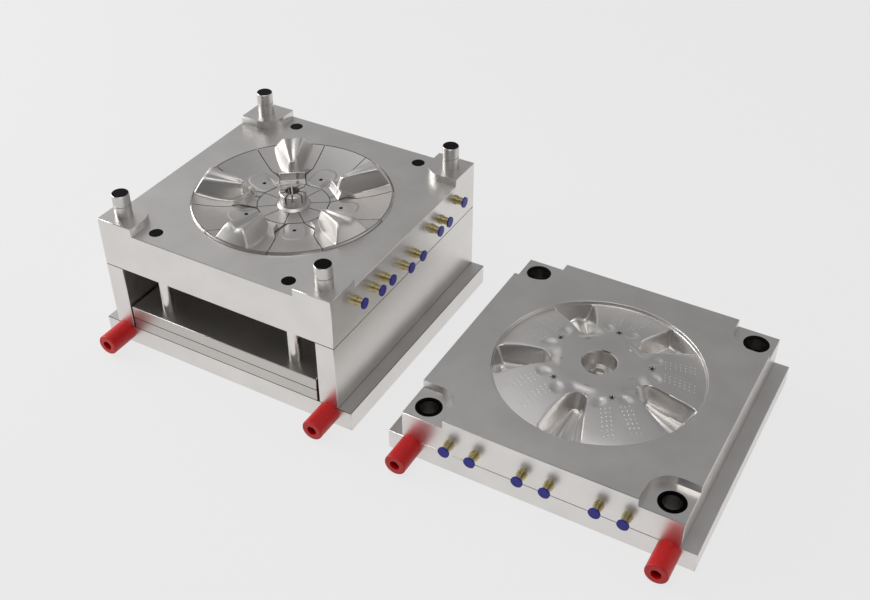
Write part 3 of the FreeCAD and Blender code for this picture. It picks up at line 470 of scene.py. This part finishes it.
# Rows stand closest where the form turns fastest: at the nose, the end and the joint of the rim.
inner_row, outer_row, inner_seat, outer_seat = 75.85, 206.3, 75.1, 207.9
spoke_radii = np.concatenate([np.arange(inner_row, 87, 1.9), np.arange(87, 105, 0.45),
                              np.arange(105, 178, 1.7), np.arange(178, 203, 0.9),
                              rim_joint_rows, (outer_row,)])
seat_radii = np.interp(spoke_radii, (inner_row, outer_row), (inner_seat, outer_seat))
spoke_columns = (5, 11, 10, 5, 10, 5, 10, 11, 5)
along, across = rows_round_axis(spoke_radii, lambda a: spoke_lines(a, spoke_half_width(a, joint_gap)),
                                spoke_columns)
spoke_rows = np.stack([along, across, spoke_face(along, across)], -1)
seat_rows = np.stack(rows_round_axis(seat_radii, lambda a: spoke_lines(a, spoke_half_width(a, seat_gap)),
                                     spoke_columns), -1)
for i in range(5):
    turn = first_spoke - sector * i
    insert_block(f"core_spoke_{i + 1}", spoke_rows, seat_rows, turn, f"core_spoke_insert_{i + 1}")


# Petal inserts: the five plain faces of the dish between the spokes, of the same stoned steel. Each
# has a low pad, a scribed line and the bore of an ejector pin.
def petal_half_width(along, gap):
    """Half the width of a petal insert: the sides of the spokes half a sector either side of it."""
    (far, wide), turn = spoke_side, math.radians(sector / 2)
    inner = math.sqrt((ring_edge + gap) ** 2 - (wide[0] + gap) ** 2)
    x, y = np.array((inner, *far[1:])), np.array(wide) + gap
    out, half = x * math.cos(turn) + y * math.sin(turn), x * math.sin(turn) - y * math.cos(turn)
    return np.interp(along, out, half), out[0]


def petal_rows(gap, outer):
    """Rows from the straight inner edge out to the round rim."""
    columns, inner_rows = 61, 62
    round_rows = (185, 187, 190, 193, 196, 199, 201, *rim_joint_rows, 206.5, outer)
    share = np.linspace(-1, 1, columns)[None, :]
    start = petal_half_width(0, gap)[1]
    radius = np.repeat(np.array(round_rows)[:, None], columns, axis=1)
    along = radius.copy()
    for settle in range(settle_rounds):
        along = (along + np.sqrt(radius ** 2 - (share * petal_half_width(along, gap)[0]) ** 2)) / 2
    inner = start + (along[:1] - start) * (np.arange(inner_rows) / inner_rows)[:, None]
    along = np.concatenate([inner, along])
    return along, share * petal_half_width(along, gap)[0]


def petal_face(along, across):
    """The dish with a low rounded pad near the ring, a scribed line and a facet beside the pad."""
    pad_middle, pad_core, pad_edge, pad_height = (106, -1), (11, 4), (18.6, 21.4), 1.2
    line_place, line_end, line_depth = -19.5, (107, 112), 1.4
    facet_side, facet_end, facet_depth = (10, 19), (92, 120), 2.4
    radius = np.hypot(along, across)
    past_along = np.maximum(np.abs(along - pad_middle[0]) - pad_core[0], 0)
    past_across = np.maximum(np.abs(across - pad_middle[1]) - pad_core[1], 0)
    pad = pad_height * (1 - ease(*pad_edge, np.hypot(past_along, past_across)))
    line = line_depth * np.exp(-(across - line_place) ** 2) * (1 - ease(*line_end, along))
    facet = facet_depth * ease(*facet_side, -across) * (1 - ease(*facet_end, along))
    return rim_detail(dish(radius) + pad - line - facet, radius)


def cut_away(piece, tool):
    """Take the tool's shape out of a piece."""
    bpy.ops.object.select_all(action="DESELECT")
    bpy.context.view_layer.objects.active = piece
    cut = piece.modifiers.new("cut", "BOOLEAN")
    cut.operation, cut.solver, cut.object = "DIFFERENCE", "EXACT", tool
    bpy.ops.object.modifier_apply(modifier=cut.name)
    bpy.data.objects.remove(tool)
    close_and_shade(piece)


first_petal, petal_rim, petal_seat_rim = 90, 207.9, 207.95
bore_radius, bore_circle, drill_length, drill_middle = 4.05, 101, 100, 265
along, across = petal_rows(joint_gap, petal_rim)
petal_top = np.stack([along, across, petal_face(along, across)], -1)
petal_seat = np.stack(petal_rows(seat_gap, petal_seat_rim), -1)
for i in range(5):
    turn = first_petal - sector * i
    petal = insert_block(f"core_petal_{i + 1}", petal_top, petal_seat, turn, f"core_petal_insert_{i + 1}")
    pin_x, pin_y = bore_circle * math.cos(math.radians(turn)), bore_circle * math.sin(math.radians(turn))
    bpy.ops.mesh.primitive_cylinder_add(vertices=48, radius=bore_radius / 1000, depth=drill_length / 1000,
                                        location=(pin_x / 1000, pin_y / 1000, drill_middle / 1000))
    cut_away(petal, bpy.context.object)

# Hub, ring segments and ejector keys: the middle of the core, cut from the same steel and stoned
# like the inserts. The keys are wedges on rods, which rise out of the core with the ejector plates.
dress(satin_steel, "core_hub")
for i in range(1, 6):
    dress(satin_steel, f"core_ring_segment_{i}", f"ejector_key_{i}")

# Guide pillars: case-hardened round steel, ground so that the bushes run on it, and held in the core
# plate by a flange at the foot. The end faces are blackened, with a ring groove below the tip.
black_skin = 0.0004
pillar_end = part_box("guide_pillar_1")[1][2] - black_skin
pillar_steel = steel("pillar_steel_with_black_end", "#D2D0CD", 0.36, cloud=0.02, black_above=pillar_end)
for i in range(1, 5):
    dress(pillar_steel, f"guide_pillar_{i}")

# Return pins and ejector pins: hardened rods, ground and polished, with heads that are held between
# the two ejector plates. Their end faces are blackened too.
pin_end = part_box("return_pin_1")[1][2] - black_skin
pin_steel = steel("return_pin_steel_with_black_end", "#E2E0DD", 0.2, cloud=0.02, black_above=pin_end)
for i in range(1, 5):
    dress(pin_steel, f"return_pin_{i}")
ejector_pin_end = 0.2700
dress(steel("ejector_pin_steel", "#C9C7C4", 0.3, cloud=0.02, black_above=ejector_pin_end), "ejector_pins")

# Sprue bush: a turned and hardened steel bush in the back of the fixed half, which the machine's
# nozzle presses on. It is polished, so that the plastic lets go of it.
dress(steel("polished_bush_steel", "#E2E0DD", 0.14, cloud=0.02), "sprue_bush")

# Cavity plate: the block that moulds the cover's outside. The bowl and its five pockets are milled
# and spark-eroded, then stoned. Its square outside stays as the CAD has it; only the bowl is redrawn,
# the core's spokes turned over and grown by the 2.4 mm wall of the moulding.
cavity_x, cavity_z, wall, first_pocket = 694.0, 120.3, 2.4, 54


def bowl_dome(radius):
    """Depth of the plain bowl: flat round the bore, then an arc down to the foot of the steep rim."""
    middle_depth, arc_depth, arc_edge = -15.1, 22.1, 205.0
    rim_foot, rim_foot_depth, rim_slope, rim_round = 203.7, 7.0, 2.59, 2.0
    arc = arc_up(radius, middle_depth, arc_depth, arc_edge)
    return lower(arc, rim_foot_depth - (radius - rim_foot) * rim_slope, rim_round)


def bowl_face(along, across):
    """Height of the bowl over the parting face; along and across are those of the core's spoke."""
    step_foot, step_slope, step_round = 74, 0.6, 5.0
    neck_depth, neck_start, neck_fall, neck_fillet = -10.0, 88, 0.15, 4.0
    side_depth, side_foot, side_slope, side_round = -22, 36, 0.7, 8.0
    swelling_middle, swelling_size, swelling_edge, swelling_depth = (101, 43), (17, 11), (0.35, 1.0), 3.2
    end_foot, pocket_fillet, nose = (206.4, 0.0), 14.0, (94, -9)
    rim_start, rim_end, mouth_round = 203, 207.3, 2.5
    radius = np.hypot(along, across)
    step = dish_floor + (along - step_foot) * step_slope
    neck = lower(step, neck_depth - (along - neck_start) * neck_fall, step_round)
    neck = lower(neck, side_depth + (side_foot - np.abs(across)) * side_slope, side_round)
    dome = bowl_dome(radius)
    for side in (-1, 1):
        away = np.hypot((along - swelling_middle[0]) / swelling_size[0],
                        (across - swelling_middle[1] * side) / swelling_size[1])
        dome = dome + swelling_depth * (1 - ease(*swelling_edge, away))
    base = higher(dome, neck, neck_fillet)
    height = -spoke_relief(along, across, base, wall, end_foot, pocket_fillet, nose)
    height = np.where(radius > rim_start, lower(height, 0.0, mouth_round), height)
    return np.where(radius > rim_end, 0.0, height)


def bowl_lines(along):
    """Even columns near the bore, which turn into the spoke's own lines further out."""
    edge = along * math.tan(math.radians(sector / 2))
    even_shares, change_over = (-1, -0.7, -0.4, -0.15, -0.05, 0.05, 0.15, 0.4, 0.7, 1), (66, 88)
    even = np.stack([edge * even_share for even_share in even_shares])
    return even + (spoke_lines(along, edge) - even) * ease(*change_over, along)


def reach_of(point):
    """Distance in millimetres of a point from the bowl's axis."""
    return math.hypot(point.x * 1000 - cavity_x, point.y * 1000)


def on_parting_face(centre, normal):
    return abs(centre.z * 1000 - cavity_z) < 0.05 and abs(normal.z) > 0.9999


def old_bowl(face):
    """Whether a face belongs to the bowl that is redrawn here."""
    bore_reach, rim_reach, below_bowl = 33.9, 211, 70
    centre = face.calc_center_median()
    inside = bore_reach < reach_of(centre) < rim_reach and centre.z * 1000 > below_bowl
    return inside and not on_parting_face(centre, face.normal)


bowl_radii = np.concatenate([(37, 40, 48, 58, 66), np.arange(71, 106, 0.7), np.arange(106, 180, 1.9),
                             np.arange(180, 203, 0.8), np.arange(203, 207.2, 0.4), (207.4,)])
along, across = rows_round_axis(bowl_radii, bowl_lines, (9, 9, 11, 5, 10, 5, 11, 9, 9))
height = bowl_face(along, across)
block, form = copy_of_plate("cavity_plate", "cavity_block", old_bowl)
break_edges(form, [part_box("cavity_clamp_plate")[1][2]])
for i in range(5):
    turn = math.radians(first_pocket + sector * i)
    x = cavity_x + along * math.cos(turn) + across * math.sin(turn)
    y = along * math.sin(turn) - across * math.cos(turn)
    points = np.stack([x, y, height + cavity_z], -1).reshape(-1, 3) / 1000
    spots = [form.verts.new(point) for point in points.tolist()]
    for corners in grid_faces(*along.shape):
        form.faces.new([spots[k] for k in corners])
bmesh.ops.remove_doubles(form, verts=form.verts, dist=2e-5)
bore_seam, rim_seam = (32, 39), (206.5, 212)
for low, high in (bore_seam, rim_seam):
    gap = [edge for edge in form.edges
           if edge.is_boundary and all(low < reach_of(spot.co) < high for spot in edge.verts)]
    bmesh.ops.triangle_fill(form, edges=gap, use_beauty=False, use_dissolve=False, normal=(0, 0, 1))
bmesh.ops.recalc_face_normals(form, faces=form.faces)
mouth_width, mouth_reach, mouth_level, least_turn = 2.2, (32, 35), 100, 0.9
bore_mouth = [edge for edge in form.edges if edge.calc_face_angle(0) > least_turn
              and all(mouth_reach[0] < reach_of(spot.co) < mouth_reach[1] and spot.co.z * 1000 > mouth_level
                      for spot in edge.verts)]
bmesh.ops.bevel(form, geom=bore_mouth, offset=mouth_width / 1000, segments=2, profile=0.5, affect="EDGES")
form.to_mesh(block.data)
form.free()

# Sunk marks of the bowl, all cut at once: a star at each petal's foot, a short slot at each neck,
# and rows of small dimples out on the petals. Each moulds a small raised mark on the cover.
star_out, star_points, star_radius, star_waist = 99.5, 6, 9.2, 0.33
star_depth, star_height = 7.0, 16
slot_out, slot_aside, slot_lift = 71.5, 6, 16.5
slot_radius, slot_height, slot_squeeze = 6.5, 6, 0.28
dimple_out, dimple_wide, dimple_spread = 124, 10, 0.13
dimple_rows, row_step, dimple_columns, column_step = 7, 9.5, 3, 8.5
dimple_radius, dimple_lift = 2.2, 1.5


def bowl_place(turn, out, wide, level):
    """A place in the bowl: turned in degrees round its axis, then out, across and up in millimetres."""
    return (Matrix.Translation((cavity_x / 1000, 0, 0)) @ Matrix.Rotation(math.radians(turn), 4, "Z")
            @ Matrix.Translation((out / 1000, wide / 1000, level / 1000)))


punches = bmesh.new()
for i in range(5):
    pocket_turn, petal_turn = first_pocket + sector * i, first_petal + sector * i
    star_floor = cavity_z - float(bowl_dome(star_out)) - star_depth
    star_place = bowl_place(petal_turn, star_out, 0, star_floor)
    star = bmesh.ops.create_circle(punches, cap_ends=True, segments=2 * star_points,
                                   radius=star_radius / 1000, matrix=star_place)["verts"]
    for spot in star[1::2]:
        spot.co = star_place.translation + (spot.co - star_place.translation) * star_waist
    bottom = list({face for spot in star for face in spot.link_faces})
    grown = bmesh.ops.extrude_face_region(punches, geom=bottom)["geom"]
    top = [part for part in grown if isinstance(part, bmesh.types.BMVert)]
    bmesh.ops.translate(punches, verts=top, vec=(0, 0, star_height / 1000))
    slot_place = bowl_place(pocket_turn, slot_out, slot_aside, cavity_z + slot_lift)
    bmesh.ops.create_cone(punches, cap_ends=True, segments=24, radius1=slot_radius / 1000,
                          radius2=slot_radius / 1000, depth=slot_height / 1000,
                          matrix=slot_place @ Matrix.Diagonal((slot_squeeze, 1, 1, 1)))
    for side in (-1, 1):
        for column in range(dimple_columns):
            for row in range(dimple_rows):
                past = row_step * row
                wide = side * (dimple_wide + column_step * column + dimple_spread * past)
                surface = cavity_z - float(bowl_dome(math.hypot(dimple_out + past, wide)))
                place = bowl_place(petal_turn, dimple_out + past, wide, surface + dimple_lift)
                bmesh.ops.create_icosphere(punches, subdivisions=2, radius=dimple_radius / 1000, matrix=place)
bmesh.ops.recalc_face_normals(punches, faces=punches.faces)
punch_mesh = bpy.data.meshes.new("bowl_punches")
punches.to_mesh(punch_mesh)
punches.free()
punch = bpy.data.objects.new("bowl_punches", punch_mesh)
bpy.context.collection.objects.link(punch)
cut_away(block, punch)
for face in block.data.polygons:
    if on_parting_face(face.center, face.normal):
        face.use_smooth = False
set_down(block, ground_steel, "mould_base", "cavity_plate")

# Guide bushes: hardened steel rings, turned, their bores ground bright for the pillars. Their faces
# keep a black oxide skin, which swallows the light.
black_face = 0.0015
bush_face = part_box("guide_bush_1")[1][2] - black_face
bush_steel = steel("bush_steel_with_black_face", "#B9B7B4", 0.3, cloud=0.02, black_above=bush_face)
for i in range(1, 5):
    dress(bush_steel, f"guide_bush_{i}")

# Locating ring and screws: turned steel, black all over with the oxide skin of bought parts. The
# screws hold the plates of each half together, and its feet.
black_oxide = steel("black_oxide_steel", "#1B1B1C", 0.22, cloud=0.02)
dress(black_oxide, "locating_ring", "moving_half_screws", "fixed_half_screws", "ejector_plate_screws",
      "foot_screws")

# Cooling fittings: turned brass nipples screwed into the water holes in the sides of both halves.
# Handling has dulled the brass a little, so its highlights are broad.
brass = steel("turned_brass", "#D2C596", 0.34)
dress(brass, "core_cooling_fittings", "cavity_cooling_fittings")


# Caps of the fittings: blue moulded plastic, pushed on to keep the water holes clean. The moulded
# skin is even, so its highlight is soft and small.
def paint(name, shade, roughness):
    """A coloured skin with very faint clouds some 17 mm across."""
    clouds_per_metre, cloud = 60, 0.06
    finish, tree, place = start_finish(name)
    clouds = add(tree, "TexNoise", {"Vector": place, "Scale": clouds_per_metre, "Detail": 3})
    tone = add(tree, "MapRange", {0: clouds.outputs["Fac"], 1: dark_cloud, 2: light_cloud,
                                  3: 1 - cloud, 4: 1 + cloud})
    base = add(tree, "VectorMath", {0: colour(shade)[:3], "Scale": tone.outputs[0]}, operation="SCALE")
    skin = add(tree, "BsdfPrincipled", {"Base Color": base.outputs[0], "Roughness": roughness})
    add(tree, "OutputMaterial", {0: skin.outputs[0]})
    return finish


dress(paint("blue_moulded_plastic", "#14149A", 0.4), "core_fitting_caps", "cavity_fitting_caps")

# Feet: turned steel sleeves with red enamel, each held to the clamp plate by one cap screw.
# They carry the half when it is stood on its edge.
red_enamel = paint("red_enamel", "#D81A1C", 0.38)
for i in range(1, 5):
    dress(red_enamel, f"mould_foot_{i}")
